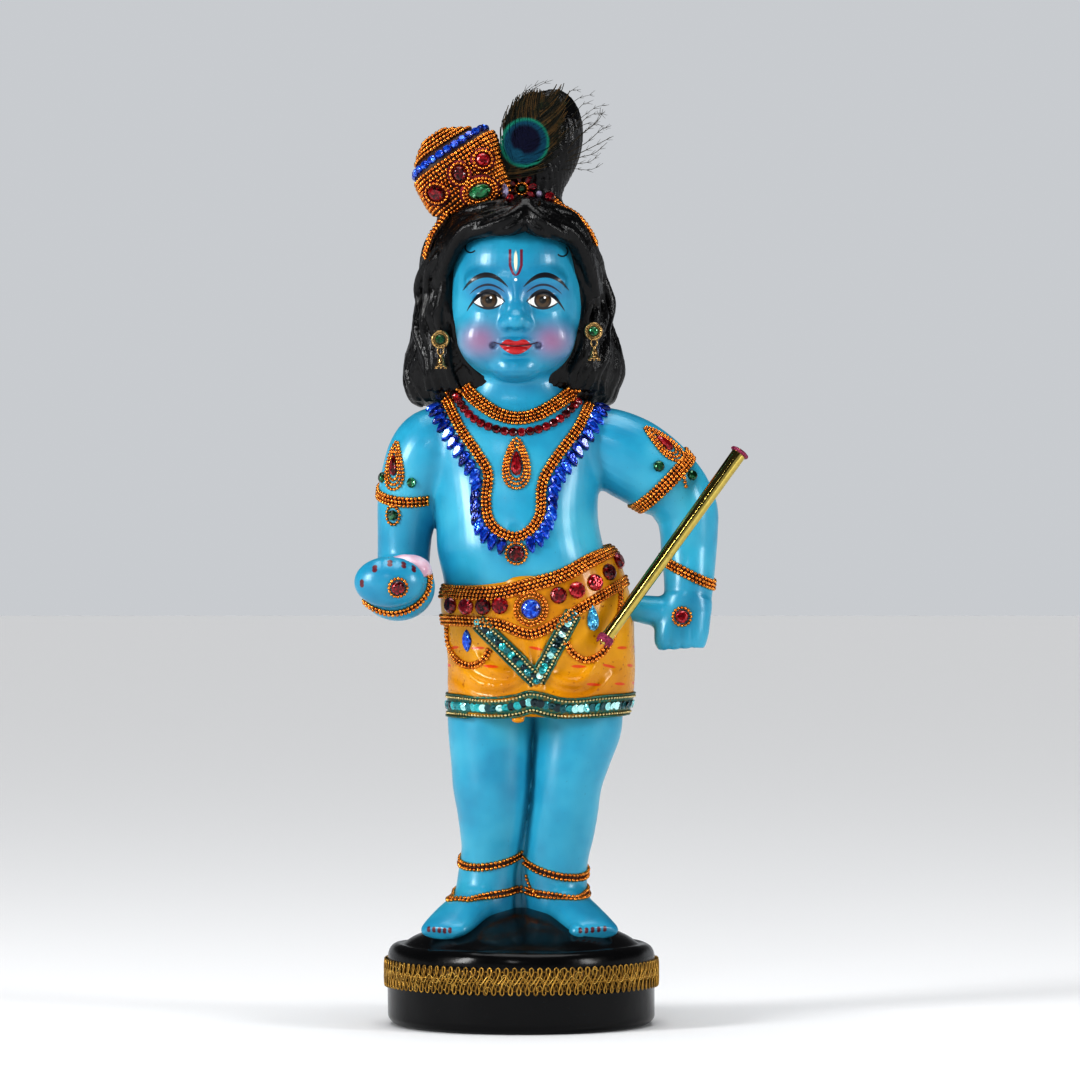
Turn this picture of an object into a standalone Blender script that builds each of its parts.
"""Standing child-deity idol, painted papier-mache on a round base, dressed with bead chain and stones.

Metres, +Z up. The figure faces -Y, so +X is the viewer's right and the figure's own left.
The origin is the centre of the base's underside.
"""

import math

import bmesh
import bpy
from mathutils import Matrix, Vector
from mathutils.bvhtree import BVHTree

MM = 0.001

# The cast figure. Its free form is kept in units of 1/394 of its height above the base.
FIGURE_HEIGHT = 394 * MM
UNIT = FIGURE_HEIGHT / 394

# The turned base that is cast with it
BASE_RADIUS = 64.2 * MM
BASE_WALL = 33 * MM
BASE_FOOT_ROUND = 6 * MM
BASE_SHOULDER = 6 * MM
BASE_MOUND = 17 * MM
BASE_SIDES = 40
SOLE = BASE_WALL + BASE_SHOULDER + BASE_MOUND

# Bead chain, stones and braid stuck on the figure
GLUE_GAP = 0.35 * MM
SIDE_GAP = 0.35 * MM
BEAD = 2.1 * MM
STONE_HEIGHT = 2.4 * MM
RED_STONE = 6.6 * MM
BLUE_TOOTH_LENGTH = 5.2 * MM
BRAID_THICKNESS = 1.4 * MM
HEM_BRAID_WIDTH = 9.6 * MM
SASH_BRAID_WIDTH = 7.6 * MM
BASE_BRAID_WIDTH = 14 * MM
BASE_BRAID_Z = 18.2 * MM
CHOKER_WIDTH = 6 * MM
CHOKER_STONE = 4.8 * MM
STUD_HEIGHT = 3 * MM
NECKLACE_WIDTH = 4.4 * MM
UPPER_BELT_WIDTH = 6.4 * MM
LOWER_BELT_WIDTH = 5 * MM
SWAG_WIDTH = 3.6 * MM
ARMLET_WIDTH = 5.4 * MM
BRACELET_WIDTH = 3.4 * MM
ANKLET_WIDTH = 3.2 * MM
HAIR_STRIP_WIDTH = 4.4 * MM
HEADBAND_WIDTH = 5.2 * MM
TURBAN_BAND_WIDTH = 4 * MM

# The flute and its sequin collars
FLUTE_LENGTH = 114 * MM
FLUTE_DIAMETER = 7.2 * MM
FLUTE_FOOT_DIAMETER = 5.8 * MM
FLUTE_WALL = 0.9 * MM
FLUTE_SIDES = 12
COLLAR_INSET = 0.4 * MM
COLLAR_LENGTH = 4.2 * MM
COLLAR_THICKNESS = 1.1 * MM

# The feather
FEATHER_WIDTH = 31 * MM
FEATHER_THICKNESS = 1.0 * MM
FEATHER_PLANE = -8

# How the figure's surface is made
VOXEL = 1.5 * MM
SMOOTH_COUNT = 3
FIGURE_KEEP = 0.0155

# How the trim is laid on
NORMAL_REACH = 4 * MM
LIFT_REACH = 2.6 * MM
LIFT_ROUNDS = 4
SPAN_SHARES = (0, 0.2, 0.4, 0.6, 0.8, 1)
STRIP_EDGE = 0.45
SASH_SPANS = 5
STATIONS = {
    "choker": 14, "choker_stones": 27, "hair_strip": 7, "headband": 15, "turban_blue_band": 7,
    "necklace": 34, "necklace_stones": 25, "belt": 26, "belt_stones": 9, "swag": 13, "hem_braid": 26,
    "armlet": 14, "bracelet": 14, "anklet": 13,
}
FULL_TURN = 360
ARM_REACH = 26
ANKLE_REACH = 34
WAIST_REACH = 75
STONE_WAIST = 0.55
WINDING = 2.2 * MM
WINDING_TURNS = 6
WINDING_SIDES = 16
WINDING_FROM = 1.1
TURBAN_GAP = 0.8 * MM

SKIN = ((0.10, 0.48, 0.68), 0.32, 0.0)
GOLD = ((0.62, 0.30, 0.06), 0.25, 1.0)
RED = ((0.45, 0.01, 0.03), 0.12, 0.3)
BLUE = ((0.01, 0.06, 0.50), 0.12, 0.3)
GREEN = ((0.0, 0.22, 0.07), 0.12, 0.3)
SKY = ((0.10, 0.45, 0.75), 0.12, 0.3)
TEAL = ((0.02, 0.30, 0.30), 0.30, 0.5)
BRAID_GOLD = ((0.50, 0.33, 0.06), 0.40, 0.8)
BRASS = ((0.55, 0.45, 0.15), 0.12, 1.0)
MAGENTA = ((0.30, 0.02, 0.10), 0.40, 0.2)
BUTTER = ((0.80, 0.62, 0.60), 0.45, 0.0)
FEATHER_GREEN = ((0.05, 0.12, 0.06), 0.60, 0.0)


def clear_scene():
    for old in list(bpy.data.objects):
        bpy.data.objects.remove(old, do_unlink=True)


def material(name, finish):
    """A plain Principled material from (colour, roughness, metallic)."""
    colour, roughness, metallic = finish
    made = bpy.data.materials.new(name)
    made.use_nodes = True
    shader = made.node_tree.nodes["Principled BSDF"]
    shader.inputs["Base Color"].default_value = (*colour, 1)
    shader.inputs["Roughness"].default_value = roughness
    shader.inputs["Metallic"].default_value = metallic
    made.diffuse_color = (*colour, 1)
    return made


def link(name, mesh, finish=None):
    made = bpy.data.objects.new(name, mesh)
    bpy.context.collection.objects.link(made)
    if finish:
        mesh.materials.append(finish)
    return made


def on_figure(x, y, z):
    """A point of the figure, from units across, back and up from its soles."""
    return Vector((x, y, z)) * UNIT + Vector((0, 0, SOLE))


def spline(rows, steps):
    """Catmull-Rom through rows of equal-length number tuples, with steps spans for each row."""
    ends = [rows[0], *rows, rows[-1]]
    made = []
    for i in range(len(rows) - 1):
        a, b, c, d = ends[i : i + 4]
        for k in range(steps):
            t = k / steps
            made.append(
                tuple(
                    0.5 * (2 * q + (r - p) * t + (2 * p - 5 * q + 4 * r - s) * t**2
                           + (3 * q - p - 3 * r + s) * t**3)
                    for p, q, r, s in zip(a, b, c, d)
                )
            )
    made.append(tuple(rows[-1]))
    return made


def rounded(angle, power):
    """A point of the unit superellipse at that angle."""
    c, s = math.cos(angle), math.sin(angle)
    return (
        math.copysign(abs(c) ** (2 / power), c),
        math.copysign(abs(s) ** (2 / power), s),
    )


def skin_rings(bm, rings):
    """Closes a stack of equal rings into one skin, with a pole at each end."""
    made = [[bm.verts.new(p) for p in ring] for ring in rings]
    count = len(made[0])
    for low, high in zip(made, made[1:]):
        for k in range(count):
            n = (k + 1) % count
            bm.faces.new((low[k], low[n], high[n], high[k]))
    for ring, turn in ((made[0], -1), (made[-1], 1)):
        middle = sum((v.co for v in ring), Vector()) / count
        pole = bm.verts.new(middle)
        for k in range(count):
            n = (k + 1) % count
            pair = (ring[k], ring[n]) if turn > 0 else (ring[n], ring[k])
            bm.faces.new((*pair, pole))


def column(bm, rows, power=2.0, sides=32, steps=3, locks=0, lock_depth=0.0, sway=0.0):
    """A form lofted up through level rings: rows of (x, y, z, half width, half depth, tilt, pitch).

    Tilt raises the +X side and pitch raises the back, both in units of height per unit across.
    Locks cuts that many wavy grooves down the form.
    """
    rings = []
    for x, y, z, wide, deep, tilt, pitch in spline(rows, steps):
        ring = []
        for k in range(sides):
            angle = 2 * math.pi * k / sides
            c, s = rounded(angle, power)
            wave = 1 + lock_depth * math.cos(locks * angle + sway * math.sin(z / 9))
            px, py = c * wide * wave, s * deep * wave
            ring.append(on_figure(x + px, y + py, z + px * tilt + py * pitch))
        rings.append(ring)
    skin_rings(bm, rings)


def limb(bm, rows, side=(0, 1, 0), power=2.0, sides=20, steps=4):
    """A form lofted along its own line: rows of (x, y, z, half width, half depth).

    Side is the direction that the half depth is measured nearest to.
    """
    line = spline(rows, steps)
    rings = []
    for i, (x, y, z, wide, deep) in enumerate(line):
        before, after = line[max(i - 1, 0)], line[min(i + 1, len(line) - 1)]
        along = Vector([q - p for p, q in zip(before[:3], after[:3])]).normalized()
        across = Vector(side).cross(along).normalized()
        depth = along.cross(across)
        ring = []
        for k in range(sides):
            c, s = rounded(2 * math.pi * k / sides, power)
            ring.append(on_figure(*(Vector((x, y, z)) + across * (c * wide) + depth * (s * deep))))
        rings.append(ring)
    skin_rings(bm, rings)


def egg(bm, x, y, z, wide, deep, tall, lean=0.0, power=2.0):
    """A rounded lump, lean tips its top towards +X."""
    rows = []
    for k in range(9):
        angle = math.pi * (k + 0.5) / 9
        rise, girth = -math.cos(angle), math.sin(angle) ** (2 / power)
        rows.append((x + lean * rise * tall, y, z + rise * tall, wide * girth, deep * girth, 0, 0))
    column(bm, rows, power=power, sides=20, steps=1)


LEGS = {
    "right": [
        (-15, 3, -6, 13.5, 15.5), (-17, 3, 2, 14.5, 16), (-16.5, 3, 11, 14.6, 15.5),
        (-15.4, 3, 20, 14.4, 15), (-14.2, 2, 28, 14.6, 15.5), (-13.9, 1, 34, 15.4, 16.5),
        (-13.8, -1, 45, 16.9, 17.5), (-14.2, -2, 57, 18.6, 19), (-14.4, -1, 69, 19.3, 20),
        (-14.8, 0, 84, 20.3, 21), (-14.8, 1, 104, 21, 22),
    ],
    "left": [
        (16, 3, -6, 13.5, 15.5), (16.5, 3, 2, 14.8, 16), (16.3, 3, 11, 15.2, 15.5),
        (16.6, 2, 22, 15.4, 15.5), (18.2, 1, 34, 16.6, 16.5), (19.9, -1, 45, 16.8, 17.5),
        (21.4, -2, 57, 17, 18.5), (23.8, -1, 69, 18.8, 20), (26.9, 0, 84, 21, 21),
        (27, 1, 104, 22, 22),
    ],
}
FEET = {
    "right": [
        (-12, 16, -2, 6, 5), (-14, 12, 1, 11, 8), (-20, 0, 1.5, 12, 9), (-27, -14, -1.5, 12.5, 8),
        (-33, -25, -6, 13, 6.5), (-37, -32, -9, 12, 4.8), (-38.5, -35, -10.5, 9, 3),
    ],
    "left": [
        (11, 16, -2, 6, 5), (13, 12, 1, 11, 8), (19, 1, 1.5, 12, 9), (25, -12, -1.5, 12.5, 8),
        (31, -22, -6, 13, 6.5), (35.5, -29, -9, 12, 4.8), (37, -32, -10.5, 9, 3),
    ],
}
TOE_COUNT = 5
TOE_SPREAD = 23
TOE_LENGTH = 5.6
DHOTI = [
    (7.7, 0, 90, 42.5, 31.5, 0, 0), (8, 0, 94, 43.6, 33, 0, 0), (9.1, 0, 103, 44.6, 34, 0.01, 0),
    (9.4, 0, 120, 44.8, 35, 0.04, 0.02), (8.2, 0, 137, 45.2, 35.5, 0.10, 0.05),
    (5.8, 0, 150, 44.2, 35.3, 0.17, 0.07), (4.0, 0, 159, 42.6, 34.5, 0.22, 0.09),
    (3.0, 0, 164, 40.0, 32.0, 0.22, 0.09),
]
TORSO = [
    (4, 0, 146, 40, 31, 0, 0), (2.5, -1, 158, 40, 33, 0, 0), (-0.3, -2, 171, 40, 33.5, 0, 0),
    (-1.9, -1.5, 184, 38.9, 31.5, 0, 0), (-2.6, -0.5, 195, 39.3, 29.5, 0, 0),
    (-2.8, 1, 206, 41, 28.5, 0, 0), (-3.2, 1.5, 218, 43, 27.5, 0, 0), (-2.5, 2, 228, 45, 25.5, 0, 0),
    (-2, 2.5, 236, 42, 22.5, 0, 0), (-2, 3, 243, 32, 20.5, 0, 0), (-2.1, 3, 250, 24.5, 20, 0, 0),
    (-2.2, 2.5, 258, 22.4, 19.8, 0, 0), (-2.2, 2, 268, 22, 19.5, 0, 0),
]
UPPER_ARMS = {
    "right": [
        (-34, 2, 223, 16, 15), (-41, 2, 221, 19, 17), (-46.5, 2, 214, 19, 17.5),
        (-51.5, 3, 204, 16.6, 16), (-54.5, 4, 194, 14.8, 15), (-56, 5, 180, 13.2, 14),
        (-56.6, 5, 168, 12.6, 13.8), (-57, 4, 158, 12.6, 14), (-57, 3, 152, 10.6, 11),
    ],
    "left": [
        (28, 2, 226, 15, 14), (40, 2, 221.5, 18.5, 17), (51, 2, 216, 20, 18),
        (60, 3, 210.5, 19.6, 17.5), (68, 3.5, 204.5, 18.4, 17), (75, 4, 198, 16.4, 16),
        (79.4, 4, 189, 15.2, 15), (80.4, 3.5, 180, 14, 14.2), (80.4, 3, 171, 13.4, 13.6),
        (80.4, 0, 160, 12.3, 12.6), (80, -2, 151, 11.6, 11.5), (79, -4, 143, 11, 9.5),
    ],
}
RIGHT_FOREARM = [
    (-57, 8, 157, 10.4, 11), (-57.4, 0, 154.5, 12.8, 14), (-57.8, -12, 152.5, 13.4, 14.4),
    (-58, -26, 152.5, 13.8, 14.6), (-57.6, -37, 153, 14.2, 13.8), (-59, -45, 154, 13, 12.4),
]
RIGHT_HEEL = (-58.5, -41, 153.8, 17.8, 12, 15.8)
RIGHT_FINGERS = (-61.9, -52, 156.2, 16.6, 10.5, 12)
LEFT_HAND = [
    (79.5, -3.5, 147, 11.2, 9.6), (78.6, -5, 141, 12.2, 9.4), (77, -6.4, 134, 13, 9),
    (76, -7.4, 128.5, 12.6, 8.4), (75.6, -7.6, 125, 11.6, 7.2), (75.6, -7.6, 124, 9, 5),
]
LEFT_THUMB = [(72, -4, 141, 7, 7), (64, -5, 142, 7.6, 7.2), (57, -6, 143, 7, 6.6), (50, -6, 144, 6, 5.6)]
HEAD = [
    (-2.3, -9, 253.5, 11, 11, 0, 0), (-2.4, -7.5, 257, 20, 19, 0, 0), (-2.5, -4, 263.5, 26.5, 26.5, 0, 0),
    (-2.5, -1, 272, 30.6, 31.5, 0, 0), (-2.6, 0, 282, 32.8, 34, 0, 0), (-2.6, 1, 292, 33.2, 35, 0, 0),
    (-2.7, 2, 303, 32.8, 35.6, 0, 0), (-2.8, 3, 314, 31.2, 35.2, 0, 0), (-2.9, 5, 325, 26.5, 31, 0, 0),
    (-3, 7, 333, 18, 21, 0, 0),
]
HAIR = [
    (-4, 17, 240, 42, 19, 0, 0), (-4.3, 15, 243, 49, 24, 0, 0), (-4.6, 14, 249, 51.6, 27, 0, 0),
    (-3.8, 13.5, 256, 53.4, 29, 0, 0), (-3.6, 13, 264, 52.4, 30, 0, 0), (-3.4, 13, 271, 50.2, 32, 0, 0),
    (-4.2, 13, 279, 48, 34.5, 0, 0), (-5, 13, 288, 46.2, 37, 0, 0), (-4.6, 12, 299, 44.8, 39, 0, 0),
    (-5, 10.5, 309, 43.4, 40.5, 0, 0), (-5.4, 8, 318, 41, 40.5, 0, 0), (-4.6, 7, 326, 36.5, 38, 0, 0),
    (-3.6, 6, 333, 29, 32, 0, 0), (-3, 5, 338.4, 16, 19, 0, 0),
]
FRINGE = {
    "right": [
        (4, -29, 330.5, 7, 5), (-5, -32.5, 325.5, 7.5, 5.5), (-16, -30, 323, 7.5, 6),
        (-26, -22.5, 317, 8, 7), (-33.5, -13, 306, 9, 8), (-37, -4, 293, 8, 8),
    ],
    "left": [
        (0, -29, 330.5, 7, 5), (8, -32.5, 324.5, 7.5, 5.5), (16, -29.5, 321.5, 7.5, 6),
        (24, -21.5, 315, 8, 7), (29, -13, 303.5, 8.5, 8), (32, -4, 290, 8, 8),
    ],
}
TOPKNOT = (11.5, 10, 367, 17.6, 16, 26, 0.13)
TOPKNOT_SIDE = (-0.4, 9, 358, 8.6, 12, 20)
TOPKNOT_STEM = [(6, 6, 332, 14, 14, 0, 0), (8, 8, 342, 11.5, 11.5, 0, 0), (10, 9, 354, 13, 13, 0, 0)]
TURBAN_CORE = (-30.8, 1, 352, 18.2, 17.5, 20.2, -0.02, 2.7)
TURBAN_STEM = [(-24, 2, 322, 20, 19, 0, 0), (-26, 2, 331, 14, 14, 0, 0), (-29, 1, 344, 12, 12, 0, 0)]
PALM_HOLLOW = (-55, -43, 162, 12, 8.5, 7)


def face_relief(bm):
    """A calm child's face: brow line halfway up the head, an eye's width between the eyes."""
    middle, front = -2.6, -34.0
    egg(bm, middle, front + 0.2, 284, 2.8, 4.0, 9)
    egg(bm, middle, front - 1.6, 278.4, 4.0, 3.8, 3.4)
    for side in (-1, 1):
        egg(bm, middle + side * 3.8, front + 1.2, 277.4, 2.8, 3.2, 2.6)
        egg(bm, middle + side * 3.2, front + 4.2, 267.4, 5.0, 4.0, 2.2)
        egg(bm, middle + side * 13.6, front + 6.2, 293, 7.4, 3.6, 4.8)
        egg(bm, middle + side * 15.5, front + 12.5, 271, 12, 10, 11)
    egg(bm, middle, front + 4.8, 264.6, 6.2, 4.0, 2.4)
    egg(bm, middle, front + 10.5, 257.5, 10, 8, 5.5)


def hands_and_toes(bm):
    """The right hand is a smooth curled fist with its palm up; the left hangs flat."""
    egg(bm, *RIGHT_HEEL)
    egg(bm, *RIGHT_FINGERS)
    limb(bm, LEFT_HAND, power=2.5)
    limb(bm, LEFT_THUMB, side=(0, 0, 1), sides=14)
    for foot in FEET.values():
        heel, tip = Vector(foot[1][:3]), Vector(foot[-2][:3])
        ahead = (tip - heel).normalized()
        across = ahead.cross(Vector((0, 0, 1))).normalized()
        outward = 1 if tip.x > 0 else -1
        for k in range(TOE_COUNT):
            share = k / (TOE_COUNT - 1) - 0.5
            big = 3.5 if k == 0 else 2.9 - 0.18 * k
            start = tip + across * (share * TOE_SPREAD * outward) - ahead * (2.4 + 1.6 * k)
            nose = start + ahead * TOE_LENGTH + Vector((0, 0, -0.8))
            ball = start.lerp(nose, 0.6)
            toe = [(*start, big, big), (*ball, big * 1.05, big), (*nose, big * 0.6, big * 0.6)]
            limb(bm, toe, side=(0, 0, 1), sides=10)


def drape_folds(bm):
    """The dhoti's raised folds: a soft fall in the middle and a swag over each thigh."""
    fall = [(4, -32, 128, 3, 2), (7, -34, 118, 5, 3), (7.6, -33.4, 104, 4.4, 3), (8, -32, 94, 3, 2)]
    limb(bm, fall, sides=12)
    for side, middle in ((-1, -14), (1, 30)):
        for k in range(3):
            out = middle + side * (2 + 5 * k)
            swag = [
                (out - 7 * side, -31.5, 110 + k, 2, 1.6), (out, -31.8 + 1.4 * k, 107 + 2.4 * k, 2.6, 2),
                (out + 7 * side, -29 + 3 * k, 109 + 3.4 * k, 2, 1.6),
            ]
            limb(bm, swag, side=(0, 1, 0), sides=10)


def figure_body():
    """Every cast form of the figure, still overlapping, in one mesh."""
    bm = bmesh.new()
    for rows in LEGS.values():
        column(bm, [(*row, 0, 0) for row in rows], sides=24)
    for rows in FEET.values():
        limb(bm, rows, side=(0, 0, 1))
    column(bm, DHOTI, power=2.25)
    column(bm, TORSO, power=2.15)
    for rows in UPPER_ARMS.values():
        limb(bm, rows)
    limb(bm, RIGHT_FOREARM, side=(0, 0, 1))
    hands_and_toes(bm)
    drape_folds(bm)
    column(bm, HEAD, power=2.1)
    face_relief(bm)
    column(bm, HAIR, sides=96, power=2.1, locks=16, lock_depth=0.022, sway=1.3)
    for rows in FRINGE.values():
        limb(bm, rows, side=(0, 1, 0.4))
    column(bm, TOPKNOT_STEM)
    egg(bm, *TOPKNOT)
    egg(bm, *TOPKNOT_SIDE)
    column(bm, TURBAN_STEM)
    egg(bm, *TURBAN_CORE)
    mesh = bpy.data.meshes.new("figure")
    bm.to_mesh(mesh)
    bm.free()
    return mesh


def base_profile():
    """The turned base, outside from the middle of the mound down to the underside, as (radius, height)."""
    points = [(0, SOLE)]
    for share in (0.24, 0.46, 0.66, 0.82, 0.91):
        points.append((BASE_RADIUS * share, SOLE - BASE_MOUND * (share / 0.91) ** 1.75))
    points.append((BASE_RADIUS - BASE_SHOULDER * 0.72, SOLE - BASE_MOUND - BASE_SHOULDER * 0.25))
    points.append((BASE_RADIUS - BASE_SHOULDER * 0.16, BASE_WALL + BASE_SHOULDER * 0.35))
    points.append((BASE_RADIUS, BASE_WALL - BASE_SHOULDER * 0.1))
    for k in range(4):
        angle = math.pi / 2 * k / 3
        points.append(
            (BASE_RADIUS - BASE_FOOT_ROUND * (1 - math.cos(angle)), BASE_FOOT_ROUND * (1 - math.sin(angle)))
        )
    return points


def turned(name, profile, sides, finish=None):
    """A closed solid of revolution about Z, from (radius, height) points listed top to bottom."""
    bm = bmesh.new()
    rings = []
    for radius, height in profile:
        if radius == 0:
            rings.append([bm.verts.new((0, 0, height))])
        else:
            rings.append(
                [
                    bm.verts.new((radius * math.cos(a), radius * math.sin(a), height))
                    for a in (2 * math.pi * k / sides for k in range(sides))
                ]
            )
    for upper, lower in zip(rings, rings[1:]):
        for k in range(sides):
            n = (k + 1) % sides
            if len(upper) == 1:
                bm.faces.new((upper[0], lower[k], lower[n]))
            else:
                bm.faces.new((upper[k], lower[k], lower[n], upper[n]))
    bm.faces.new(list(reversed(rings[-1])))
    mesh = bpy.data.meshes.new(name)
    bm.to_mesh(mesh)
    bm.free()
    return link(name, mesh, finish)


def palm_form(name, clearance, open_top):
    """The lump of butter, or with an open top the hollow that it lies in."""
    x, y, z, wide, deep, tall = PALM_HOLLOW
    rows = []
    for k in range(7):
        angle = math.pi * (k + 0.5) / 7
        rise, girth = -math.cos(angle), math.sin(angle)
        if open_top and rise >= 0:
            rise, girth = rise * 2.4, 1
        wider = clearance / UNIT
        rows.append((x, y, z + rise * (tall + wider), (wide + wider) * girth, (deep + wider) * girth, 0, 0))
    bm = bmesh.new()
    column(bm, rows, sides=12, steps=1)
    mesh = bpy.data.meshes.new(name)
    bm.to_mesh(mesh)
    bm.free()
    return link(name, mesh)


def hidden(helper):
    helper.hide_render = True
    helper.display_type = "WIRE"
    return helper


def boolean(target, operation, other):
    cut = target.modifiers.new(operation.lower(), "BOOLEAN")
    cut.operation = operation
    cut.object = other
    cut.solver = "EXACT"


def build_figure(finish):
    figure = link("figure", figure_body(), finish)
    remesh = figure.modifiers.new("fuse", "REMESH")
    remesh.mode = "VOXEL"
    remesh.voxel_size = VOXEL
    smooth = figure.modifiers.new("soften", "SMOOTH")
    smooth.factor = 0.5
    smooth.iterations = SMOOTH_COUNT
    thin = figure.modifiers.new("facets", "DECIMATE")
    thin.ratio = FIGURE_KEEP
    boolean(figure, "DIFFERENCE", hidden(palm_form("palm_cutter", GLUE_GAP, True)))
    boolean(figure, "UNION", hidden(turned("base_form", base_profile(), BASE_SIDES)))
    return figure


CHOKER = [(-27, 249.5), (-22.1, 243.4), (-13, 236.8), (-3.5, 233.9), (6.5, 235.3), (17, 241), (25, 247.6)]
CHOKER_STONES = [
    (-31.1, 244.8), (-26.8, 237.9), (-19.7, 231.8), (-10.1, 228.2), (-0.6, 227.2), (9.8, 229.1),
    (19.5, 234.5), (27, 242),
]
NECKLACE = [
    (-35.5, 242.5), (-29.1, 229.4), (-20.5, 216.6), (-15.8, 207.6), (-16.7, 195.3), (-15.4, 186),
    (-10.6, 180), (-2.5, 177.3), (4.6, 181), (8.9, 188.6), (9.4, 199.6), (11.3, 206.7), (16.9, 215.7),
    (26.9, 229.4), (32.5, 241),
]
BLUE_ROWS = {
    "right": [(-41.6, 239), (-34.8, 226.1), (-26.2, 212.8), (-21.6, 204.5), (-22, 194.8), (-20.6, 183.4),
              (-14.6, 175.6), (-9.4, 173)],
    "left": [(38.6, 239), (32.1, 226.5), (22.4, 212.3), (16.9, 203.8), (15, 197.2), (14.2, 187.2),
             (9.4, 177.4), (4.6, 173.8)],
}
PENDANT_SPOT = (-2.3, 213)
PENDANT = (7.6, 11.2)
LOWER_PENDANT_SPOT = (-2.3, 169.4)
LOWER_PENDANT = (5.2, 5.2)
UPPER_BELT = [(-40, 151.4), (-19.5, 150.6), (0, 154.6), (18.4, 158.8), (32.6, 165.2), (46, 171.5)]
LOWER_BELT = [(-38, 138), (-15.3, 136.4), (4.1, 131.4), (25.5, 141.2), (48, 156.6)]
HEM = [(-37, 97.4), (54, 97.4)]
WAIST = (6, 0)
BELT_ROWS = {
    "right": [(-35.5, 144.4), (-26, 143.4), (-17, 143.2), (-8.5, 143.6)],
    "left": [(17.8, 149.6), (26.9, 151.6), (35.5, 155), (42, 159.4), (46.6, 163.6)],
}
BUCKLE_SPOT = (4.6, 143.4)
BUCKLE = (6.9, 6.9)
SWAGS = {
    "right": [(-34.4, 131), (-32.6, 124), (-27.5, 118.6), (-22, 118.4), (-19.4, 121)],
    "left": [(46.4, 150), (45.2, 139), (39.2, 124.4), (31.6, 119.4), (23.6, 123.6)],
}
MARQUISES = {"right": (-26.2, 126.6, 2.4, 5.0, 0.0), "left": (33.6, 138.4, 3.0, 5.0, -0.3)}
SASH = [(-17.5, 129), (7.4, 109.4), (20.8, 131.6)]
ARMLETS = {
    "right": ((-55.8, 4, 199.6), 0.0, 0.37, (50, 310), (-60.9, 212.4), 0.0, (-61.4, 187.6)),
    "left": ((66.8, 3, 203.4), 1.0, 0.2, None, (68.6, 222.4), 0.75, None),
}
ARMLET_DROP = (5.4, 8.6)
ARMLET_TAIL = (4.2, 4.2)
RIGHT_BRACELET = [
    (-43.6, 160.5), (-43.3, 156), (-44.8, 150.6), (-49.4, 145.4), (-56, 142.2), (-63, 141.8), (-69.6, 144),
    (-73.8, 147),
]
LEFT_BRACELET = ((80.2, 0, 160.6), -0.5, 0.1)
MEDALLIONS = {"right": (-57.6, 153.6), "left": (76.6, 139)}
MEDALLION = (5.2, 5.2)
ANKLETS = {
    "upper_right": ((-14.4, 2, 24.4), 0.16, 0.3, (95, 355)),
    "upper_left": ((17, 2, 20), -0.24, 0.3, (185, 445)),
    "lower_right": ((-17.6, 2, 7.8), 0.08, 0.12, (75, 350)),
    "lower_left": ((17, 2, 8.4), -0.04, 0.16, (200, 448)),
}
HAIR_STRIPS = {
    "right": [(-34, 330), (-38, 321.5), (-41.5, 313.5)],
    "left": [(14.6, 337), (23.6, 330.6), (31.6, 321.6)],
}
HEADBAND = [(-29, 326.4), (-20, 328.4), (-10, 330), (0.3, 330.6), (8, 329.6)]
TURBAN_BLUE = [(-43.5, 359), (-36.5, 362.6), (-26, 368)]
EARRINGS = {"right": (-38.6, -17, 271.5), "left": (34.4, -16, 275.4)}
FEATHER_FOOT = (-4.5, 352)
FEATHER_TIP = (11.5, 390)
FLUTE_REST = (38.6, -36, 127.2)
FLUTE_AIM = (66.1, 17, 91.3)


class Skin:
    """Finds places on the finished surface of an object, to stick trim on."""

    def __init__(self, surface):
        self.tree = BVHTree.FromObject(surface, bpy.context.evaluated_depsgraph_get())

    def spot(self, start, direction, reach=1.0):
        """Where the ray meets the surface, with the surface's mean direction around that place."""
        hit, outward = self.tree.ray_cast(start, direction, reach)[:2]
        if hit is None:
            return None
        near = [normal for _, normal, _, _ in self.tree.find_nearest_range(hit, NORMAL_REACH)]
        facing = sum((normal for normal in near if normal.dot(outward) > 0), Vector()).normalized()
        return hit, facing

    def front(self, x, z):
        return self.spot(on_figure(x, -160, z), Vector((0, 1, 0)))

    def under(self, place, facing):
        """The surface straight under or over a place near it."""
        return self.spot(place + facing * LIFT_REACH, -facing, 2 * LIFT_REACH)

    def height_over(self, place, facing):
        """How far the surface stands above the place, negative where the place is clear of it."""
        start = place + facing * LIFT_REACH
        hit = self.tree.ray_cast(start, -facing, 2 * LIFT_REACH)
        return LIFT_REACH - hit[3] if hit[0] is not None else -LIFT_REACH

    def inside(self, centre, direction, reach):
        start = on_figure(*centre)
        found = self.tree.ray_cast(start, direction.normalized(), reach * UNIT)[0]
        if found is None:
            return None
        back = found + direction.normalized() * 0.5 * MM
        return self.spot(back, -direction.normalized(), 1 * MM)


def walk(points, count):
    """Count places at even steps along the smooth line through the points."""
    line = [Vector(p) for p in spline(points, 8)]
    lengths = [(b - a).length for a, b in zip(line, line[1:])]
    total, made, run, k = sum(lengths), [], 0.0, 0
    for i in range(count):
        target = total * i / (count - 1)
        while k < len(lengths) - 1 and run + lengths[k] < target:
            run += lengths[k]
            k += 1
        made.append(line[k].lerp(line[k + 1], (target - run) / lengths[k]))
    return made


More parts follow.
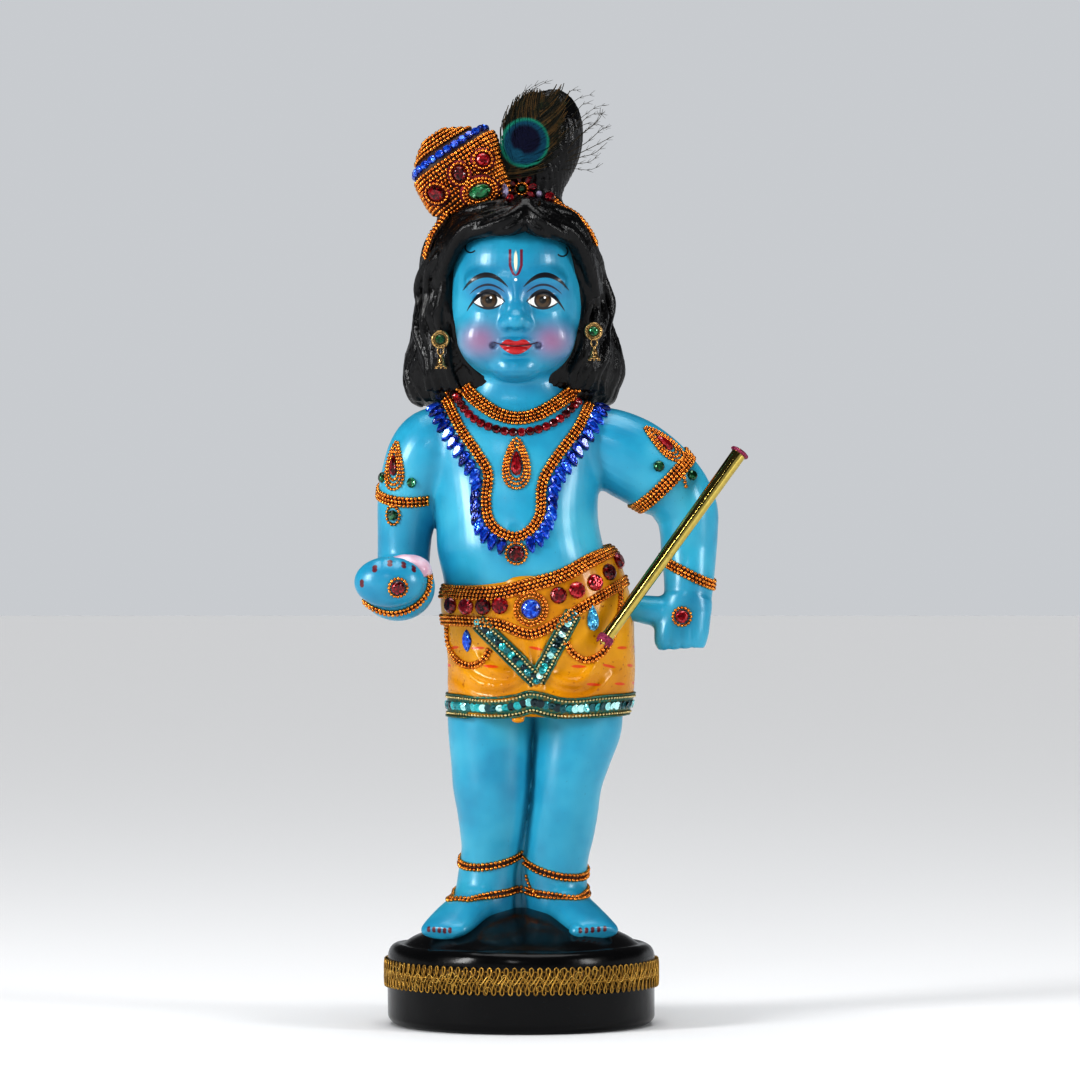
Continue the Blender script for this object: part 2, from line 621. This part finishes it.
def strip_lifts(skin, stations, closed):
    """How far each station stands off, so that the flat spans between stations clear the surface."""
    lifts = [GLUE_GAP] * len(stations)
    spans = [(i, i + 1) for i in range(len(stations) - 1)]
    if closed:
        spans.append((len(stations) - 1, 0))
    for _ in range(LIFT_ROUNDS):
        more = [0.0] * len(stations)
        for one, two in spans:
            facing = sum((normal for _, normal in (*stations[one], *stations[two])), Vector()).normalized()
            for across in SPAN_SHARES:
                start, end = (
                    (row[0][0] + row[0][1] * lift).lerp(row[2][0] + row[2][1] * lift, across)
                    for row, lift in ((stations[one], lifts[one]), (stations[two], lifts[two]))
                )
                for along in SPAN_SHARES:
                    short = skin.height_over(start.lerp(end, along), facing) + GLUE_GAP * 0.9
                    more[one], more[two] = max(more[one], short), max(more[two], short)
        lifts = [lift + extra for lift, extra in zip(lifts, more)]
    return lifts


def skin_strip(skin, name, stations, height, finish, closed=False):
    """A closed low strip on the surface: stations of three (spot, facing) each, and a height for each."""
    bm = bmesh.new()
    loops = []
    for row, tall, lift in zip(stations, height, strip_lifts(skin, stations, closed)):
        low = [spot + facing * lift for spot, facing in (row[0], row[2])]
        high = [
            spot + facing * (lift + tall * share)
            for (spot, facing), share in zip(row, (STRIP_EDGE, 1, STRIP_EDGE))
        ]
        loops.append([bm.verts.new(p) for p in (low[0], *high, low[1])])
    pairs = list(zip(loops, loops[1:]))
    if closed:
        pairs.append((loops[-1], loops[0]))
    else:
        bm.faces.new(loops[0])
        bm.faces.new(list(reversed(loops[-1])))
    for one, two in pairs:
        for k in range(5):
            n = (k + 1) % 5
            bm.faces.new((one[n], one[k], two[k], two[n]))
    bmesh.ops.triangulate(bm, faces=bm.faces)
    bmesh.ops.recalc_face_normals(bm, faces=bm.faces)
    mesh = bpy.data.meshes.new(name)
    bm.to_mesh(mesh)
    bm.free()
    return link(name, mesh, finish)


def front_strip(skin, name, points, width, height, finish, count, stones=False):
    """A strip laid on along a line seen from the front; with stones it narrows at every other station."""
    lay_strip(skin, name, walk(points, count), width, height, finish, stones)


def lay_strip(skin, name, line, width, height, finish, stones=False):
    """A strip through the given places seen from the front, as wide on the surface itself, mitred at turns."""
    middles = [found for found in (skin.front(*here) for here in line) if found]
    last = len(middles) - 1
    stations, heights = [], []
    for i, (spot, facing) in enumerate(middles):
        ahead = (middles[min(i + 1, last)][0] - spot).normalized()
        behind = (spot - middles[max(i - 1, 0)][0]).normalized()
        along = (ahead + behind).normalized()
        mitre = 1 / along.dot(ahead if i < last else behind)
        swell = STONE_WAIST if stones and i % 2 == 0 else 1.0
        across = facing.cross(along) * (width / 2 * mitre * swell)
        row = [skin.under(spot - across, facing), (spot, facing), skin.under(spot + across, facing)]
        if all(row):
            stations.append(row)
            heights.append(height * swell)
    return skin_strip(skin, name, stations, heights, finish)


def ring_strip(skin, name, centre, roll, pitch, width, finish, count, reach, arc=None):
    """A row of bead chain round a limb, from the centre outwards, in a level plane tipped by roll and pitch.

    Arc limits it to a span of angles, in degrees.
    """
    start, end = arc or (0, FULL_TURN)
    spans = count if arc is None else count - 1
    axis = Vector((-roll, -pitch, 1)).normalized()
    stations = []
    for k in range(count):
        a = math.radians(start + (end - start) * k / spans)
        direction = Vector((math.cos(a), math.sin(a), roll * math.cos(a) + pitch * math.sin(a)))
        row = []
        for side in (-1, 0, 1):
            middle = Vector(centre) + axis * (side * width / UNIT / 2)
            row.append(skin.inside(middle, direction, reach))
        if all(row):
            stations.append(row)
    return skin_strip(skin, name, stations, [BEAD] * len(stations), finish, closed=arc is None)


def waist_strip(skin, name, levels, width, height, finish, count):
    """A strip round the waist, whose front follows the (x, z) levels and whose back runs straight."""
    middle_x, middle_y = WAIST
    (left, left_z), (right, right_z) = levels[0], levels[-1]
    front = [Vector(p) for p in spline(levels, 6)]
    stations = []
    for k in range(count):
        a = 2 * math.pi * k / count
        c, s = math.cos(a), math.sin(a)
        x = (left + right) / 2 + (right - left) / 2 * c
        z = left_z + (right_z - left_z) * (x - left) / (right - left)
        if s < 0:
            past = next(i for i, p in enumerate(front) if p.x >= x - 1e-4)
            before, after = front[max(past - 1, 0)], front[past]
            share = (x - before.x) / max(after.x - before.x, 1e-4)
            z = before.lerp(after, share).y
        half = width / UNIT / 2
        outward = Vector((c, s, 0))
        levels_here = [(middle_x, middle_y, z + half * side) for side in (-1, 0, 1)]
        stations.append([skin.inside(spot, outward, WAIST_REACH) for spot in levels_here])
    return skin_strip(skin, name, stations, [height] * count, finish, closed=True)


def stud(skin, name, x, z, outline, height, finish, domes=((1.0, 0.5), (0.62, 1.0))):
    """A stone or frame with the given outline about (x, z), laid on from the front and domed up."""
    bm = bmesh.new()
    middle, facing = skin.front(x, z)
    foot = []
    for dx, dz in outline:
        tries = (skin.front(x + dx * share, z + dz * share) for share in (1, 0.88, 0.76, 0.64, 0.5))
        foot.append(next(found[0] for found in tries if found))
    lift = GLUE_GAP
    for k, p in enumerate(foot):
        for far in (0.3, 0.65, 1):
            for edge in (p, p.lerp(foot[k - 1], 0.5)):
                lift = max(lift, skin.height_over(middle.lerp(edge, far), facing) + GLUE_GAP)
    rings = [[p + facing * lift for p in foot]]
    for share, rise in domes:
        rings.append([p.lerp(middle, 1 - share) + facing * (lift + height * rise) for p in foot])
    rows = [[bm.verts.new(p) for p in ring] for ring in rings]
    count = len(foot)
    for low, high in zip(rows, rows[1:]):
        for k in range(count):
            n = (k + 1) % count
            bm.faces.new((low[k], low[n], high[n], high[k]))
    under = bm.verts.new(middle + facing * lift)
    for k in range(count):
        bm.faces.new((rows[0][(k + 1) % count], rows[0][k], under))
    bm.faces.new(rows[-1])
    bmesh.ops.triangulate(bm, faces=bm.faces)
    bmesh.ops.recalc_face_normals(bm, faces=bm.faces)
    mesh = bpy.data.meshes.new(name)
    bm.to_mesh(mesh)
    bm.free()
    return link(name, mesh, finish)


def oval(wide, tall, sides=10, turn=0.0):
    made = []
    for k in range(sides):
        a = 2 * math.pi * k / sides
        p = Matrix.Rotation(turn, 2) @ Vector((wide * math.cos(a), tall * math.sin(a)))
        made.append((p.x, p.y))
    return made


def drop(wide, tall, sides=12, turn=0.0):
    """A drop with its point up: wide and tall are half sizes."""
    made = []
    for k in range(sides):
        a = 2 * math.pi * k / sides - math.pi / 2
        narrow = 1 - 0.55 * (1 + math.sin(a)) / 2
        p = Matrix.Rotation(turn, 2) @ Vector((wide * math.cos(a) * narrow, tall * math.sin(a)))
        made.append((p.x, p.y))
    return made


def turban_winding(finish):
    """The wound bead chain: a cap over the turban core, open below."""
    x, y, z, wide, deep, tall, lean, power = TURBAN_CORE
    bm = bmesh.new()
    shells = []
    for out in ((GLUE_GAP + WINDING) / UNIT, TURBAN_GAP / UNIT):
        rings = []
        for k in range(WINDING_TURNS + 1):
            angle = WINDING_FROM + (math.pi - 0.12 - WINDING_FROM) * k / WINDING_TURNS
            rise, girth = -math.cos(angle), math.sin(angle) ** (2 / power)
            ring = []
            for n in range(WINDING_SIDES):
                c, s = rounded(2 * math.pi * n / WINDING_SIDES, power)
                ring.append(
                    on_figure(
                        x + lean * rise * tall + c * (wide * girth + out),
                        y + s * (deep * girth + out),
                        z + rise * (tall + out),
                    )
                )
            rings.append([bm.verts.new(p) for p in ring])
        shells.append(rings)
    outer, inner = shells
    for low, high in zip(outer, outer[1:]):
        for k in range(WINDING_SIDES):
            n = (k + 1) % WINDING_SIDES
            bm.faces.new((low[k], low[n], high[n], high[k]))
    for low, high in zip(inner, inner[1:]):
        for k in range(WINDING_SIDES):
            n = (k + 1) % WINDING_SIDES
            bm.faces.new((low[n], low[k], high[k], high[n]))
    for k in range(WINDING_SIDES):
        n = (k + 1) % WINDING_SIDES
        bm.faces.new((outer[0][n], outer[0][k], inner[0][k], inner[0][n]))
    bm.faces.new(outer[-1])
    bm.faces.new(list(reversed(inner[-1])))
    bmesh.ops.triangulate(bm, faces=bm.faces)
    mesh = bpy.data.meshes.new("turban_winding")
    bm.to_mesh(mesh)
    bm.free()
    return link("turban_winding", mesh, finish)


def feather(finish):
    """The vane as a thin egg-shaped plate on its quill, standing in front of the topknot."""
    foot, tip = Vector(FEATHER_FOOT), Vector(FEATHER_TIP)
    along = (tip - foot).normalized()
    across = Vector((along.y, -along.x))
    half = FEATHER_WIDTH / UNIT / 2
    outline = []
    for k in range(22):
        a = 2 * math.pi * k / 22 - math.pi / 2
        girth = half * math.cos(a) * (0.86 + 0.16 * math.sin(a))
        spot = foot.lerp(tip, 0.5 + 0.5 * math.sin(a)) + across * girth
        outline.append(spot)
    bm = bmesh.new()
    faces = []
    for side in (-1, 1):
        y = FEATHER_PLANE + side * FEATHER_THICKNESS / UNIT / 2
        faces.append([bm.verts.new(on_figure(p.x, y, p.y)) for p in outline])
    middles = []
    for side, ring in zip((-1, 1), faces):
        y = FEATHER_PLANE + side * FEATHER_THICKNESS / UNIT * 1.1
        heart = foot.lerp(tip, 0.45)
        middles.append(bm.verts.new(on_figure(heart.x, y, heart.y)))
    for k in range(22):
        n = (k + 1) % 22
        bm.faces.new((faces[0][k], faces[0][n], middles[0]))
        bm.faces.new((faces[1][n], faces[1][k], middles[1]))
        bm.faces.new((faces[0][n], faces[0][k], faces[1][k], faces[1][n]))
    bmesh.ops.recalc_face_normals(bm, faces=bm.faces)
    mesh = bpy.data.meshes.new("peacock_feather")
    bm.to_mesh(mesh)
    bm.free()
    return link("peacock_feather", mesh, finish)


def earring(name, spot, finish):
    """A stone boss, a link and a bell, turned about the vertical."""
    profile = [(0, 5.2), (3.0, 4.2), (4.0, 1.6), (3.2, -1.6), (1.3, -4.0), (1.3, -7.0), (2.2, -9.0),
               (3.1, -13.4), (2.4, -15.2)]
    made = turned(name, [(r * UNIT, h * UNIT) for r, h in profile], 8, finish)
    made.location = on_figure(*spot)
    return made


def tube_along(name, start, along, pieces, sides, finish):
    """A solid turned about a slanting line, from (distance, radius) pieces that may come back inside."""
    along = along.normalized()
    across = along.cross(Vector((0, 1, 0))).normalized()
    other = along.cross(across)
    bm = bmesh.new()
    rings = []
    for far, radius in pieces:
        rings.append(
            [
                bm.verts.new(start + along * far + (across * math.cos(a) + other * math.sin(a)) * radius)
                for a in (2 * math.pi * k / sides for k in range(sides))
            ]
        )
    for one, two in zip(rings, rings[1:] + rings[:1]):
        for k in range(sides):
            n = (k + 1) % sides
            bm.faces.new((one[k], one[n], two[n], two[k]))
    bmesh.ops.recalc_face_normals(bm, faces=bm.faces)
    mesh = bpy.data.meshes.new(name)
    bm.to_mesh(mesh)
    bm.free()
    return link(name, mesh, finish)


def flute(brass, trim):
    start = on_figure(*FLUTE_REST)
    along = Vector(FLUTE_AIM).normalized()
    low, high = FLUTE_FOOT_DIAMETER / 2, FLUTE_DIAMETER / 2
    tube_along(
        "flute", start, along,
        [(0, low), (FLUTE_LENGTH, high), (FLUTE_LENGTH, high - FLUTE_WALL), (0, low - FLUTE_WALL)],
        FLUTE_SIDES, brass,
    )
    for name, far, radius in (
        ("flute_collar_lower", COLLAR_INSET, low),
        ("flute_collar_upper", FLUTE_LENGTH - COLLAR_LENGTH - COLLAR_INSET, high),
    ):
        inner = radius + SIDE_GAP
        outer = inner + COLLAR_THICKNESS
        tube_along(
            name, start + along * far, along,
            [(0, outer), (COLLAR_LENGTH, outer), (COLLAR_LENGTH, inner), (0, inner)],
            FLUTE_SIDES, trim,
        )


def base_braid(finish):
    inner = BASE_RADIUS + GLUE_GAP
    low, high = BASE_BRAID_Z, BASE_BRAID_Z + BASE_BRAID_WIDTH
    return tube_along(
        "base_braid", Vector((0, 0, 0)), Vector((0, 0, 1)),
        [(low, inner), (low, inner + BRAID_THICKNESS), (high, inner + BRAID_THICKNESS), (high, inner)],
        BASE_SIDES, finish,
    )


def dress_head(skin, gold, gems):
    front_strip(skin, "choker", CHOKER, CHOKER_WIDTH, BEAD, gold, STATIONS["choker"])
    front_strip(
        skin, "choker_stones", CHOKER_STONES, CHOKER_STONE, STONE_HEIGHT, gems["red"],
        STATIONS["choker_stones"], stones=True,
    )
    for side, line in HAIR_STRIPS.items():
        front_strip(skin, f"hair_strip_{side}", line, HAIR_STRIP_WIDTH, BEAD, gold, STATIONS["hair_strip"])
    front_strip(
        skin, "headband", HEADBAND, HEADBAND_WIDTH, STONE_HEIGHT, gems["red"], STATIONS["headband"],
        stones=True,
    )
    turban_winding(gold)
    winding = Skin(bpy.data.objects["turban_winding"])
    front_strip(
        winding, "turban_blue_band", TURBAN_BLUE, TURBAN_BAND_WIDTH, STONE_HEIGHT, gems["blue"],
        STATIONS["turban_blue_band"],
    )
    for side, spot in EARRINGS.items():
        earring(f"earring_{side}", spot, gold)


def dress_chest(skin, gold, gems):
    stud(skin, "choker_pendant", *PENDANT_SPOT, drop(*PENDANT), STUD_HEIGHT, gold)
    front_strip(skin, "necklace", NECKLACE, NECKLACE_WIDTH, BEAD, gold, STATIONS["necklace"])
    for side, line in BLUE_ROWS.items():
        front_strip(
            skin, f"necklace_stones_{side}", line, BLUE_TOOTH_LENGTH, STONE_HEIGHT, gems["blue"],
            STATIONS["necklace_stones"], stones=True,
        )
    stud(skin, "necklace_pendant", *LOWER_PENDANT_SPOT, oval(*LOWER_PENDANT), STUD_HEIGHT, gems["red"])


def dress_waist(skin, gold, gems, teal):
    waist_strip(skin, "belt_upper", UPPER_BELT, UPPER_BELT_WIDTH, BEAD, gold, STATIONS["belt"])
    waist_strip(skin, "belt_lower", LOWER_BELT, LOWER_BELT_WIDTH, BEAD, gold, STATIONS["belt"])
    for side, line in BELT_ROWS.items():
        front_strip(
            skin, f"belt_stones_{side}", line, RED_STONE, STONE_HEIGHT, gems["red"],
            STATIONS["belt_stones"], stones=True,
        )
    stud(skin, "belt_buckle", *BUCKLE_SPOT, oval(*BUCKLE), STUD_HEIGHT, gems["blue"])
    for side, line in SWAGS.items():
        front_strip(skin, f"swag_{side}", line, SWAG_WIDTH, BEAD, gold, STATIONS["swag"])
    for side, (x, z, wide, tall, turn) in MARQUISES.items():
        stud(skin, f"marquise_{side}", x, z, oval(wide, tall, turn=turn), STONE_HEIGHT, gems["sky"])
    start, point, end = (Vector(p) for p in SASH)
    legs = [start.lerp(point, k / SASH_SPANS) for k in range(SASH_SPANS)]
    legs += [point.lerp(end, k / SASH_SPANS) for k in range(SASH_SPANS + 1)]
    lay_strip(skin, "sash_braid", legs, SASH_BRAID_WIDTH, BRAID_THICKNESS, teal)
    waist_strip(skin, "hem_braid", HEM, HEM_BRAID_WIDTH, BRAID_THICKNESS, teal, STATIONS["hem_braid"])


def dress_limbs(skin, gold, gems):
    for side, (centre, roll, pitch, arc, spot, turn, low) in ARMLETS.items():
        ring_strip(
            skin, f"armlet_band_{side}", centre, roll, pitch, ARMLET_WIDTH, gold, STATIONS["armlet"],
            ARM_REACH, arc=arc,
        )
        stud(skin, f"armlet_drop_{side}", *spot, drop(*ARMLET_DROP, turn=turn), STUD_HEIGHT, gold)
        if low:
            stud(skin, f"armlet_tail_{side}", *low, oval(*ARMLET_TAIL), STONE_HEIGHT, gems["green"])
    front_strip(skin, "bracelet_right", RIGHT_BRACELET, BRACELET_WIDTH, BEAD, gold, STATIONS["bracelet"])
    ring_strip(skin, "bracelet_left", *LEFT_BRACELET, BRACELET_WIDTH, gold, STATIONS["bracelet"], ARM_REACH)
    for side, spot in MEDALLIONS.items():
        stud(skin, f"hand_medallion_{side}", *spot, oval(*MEDALLION), STONE_HEIGHT, gems["red"])
    for place, (centre, roll, pitch, arc) in ANKLETS.items():
        ring_strip(
            skin, f"anklet_{place}", centre, roll, pitch, ANKLET_WIDTH, gold, STATIONS["anklet"],
            ANKLE_REACH, arc=arc,
        )


def main():
    clear_scene()
    figure = build_figure(material("painted_skin", SKIN))
    gold = material("gold_bead_chain", GOLD)
    gems = {
        "red": material("red_stone", RED),
        "blue": material("blue_stone", BLUE),
        "green": material("green_stone", GREEN),
        "sky": material("pale_blue_stone", SKY),
    }
    skin = Skin(figure)
    dress_head(skin, gold, gems)
    dress_chest(skin, gold, gems)
    dress_waist(skin, gold, gems, material("sequin_braid", TEAL))
    dress_limbs(skin, gold, gems)
    butter = palm_form("butter_ball", 0, False)
    butter.data.materials.append(material("butter_paint", BUTTER))
    feather(material("feather_vane", FEATHER_GREEN))
    flute(material("polished_brass", BRASS), material("sequin_collar", MAGENTA))
    base_braid(material("looped_gold_braid", BRAID_GOLD))


main()
